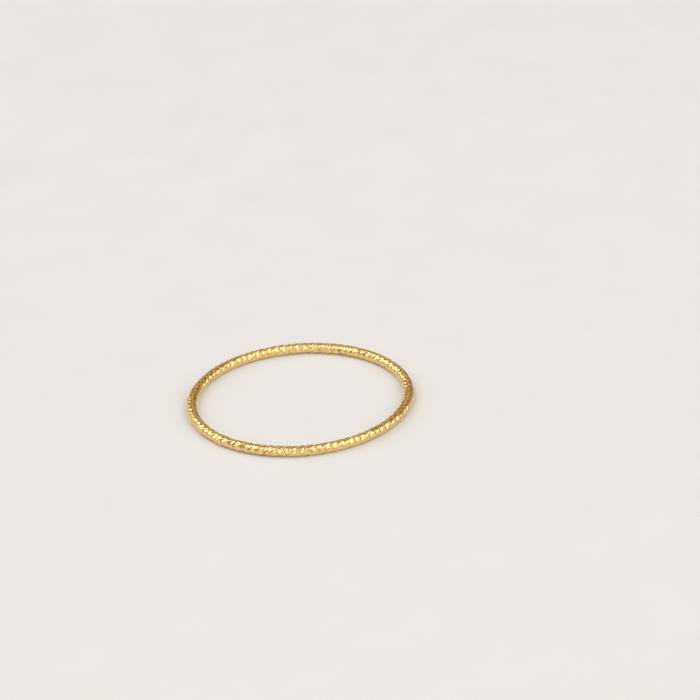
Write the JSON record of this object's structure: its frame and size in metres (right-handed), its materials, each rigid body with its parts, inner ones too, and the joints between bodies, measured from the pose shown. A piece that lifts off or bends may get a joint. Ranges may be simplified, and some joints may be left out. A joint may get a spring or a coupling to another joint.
{
  "type": "stackable ring",
  "caption": "Slim stacking finger ring, a soldered loop of twisted diamond-cut wire, gold filled and polished.",
  "frame": {"origin": "middle of the finger hole, at the level of the side that the ring lies on", "axes": "+Z along the finger's axis, up from the surface that the ring lies on; -Y towards the viewer; +X to the viewer's right"},
  "size_m": [0.019, 0.019, 0.0008],
  "materials": {
    "gold": "polished, with bright diamond cuts"
  },
  "bodies": {
    "root": {"ring_band": "gold"}
  },
  "joints": []
}
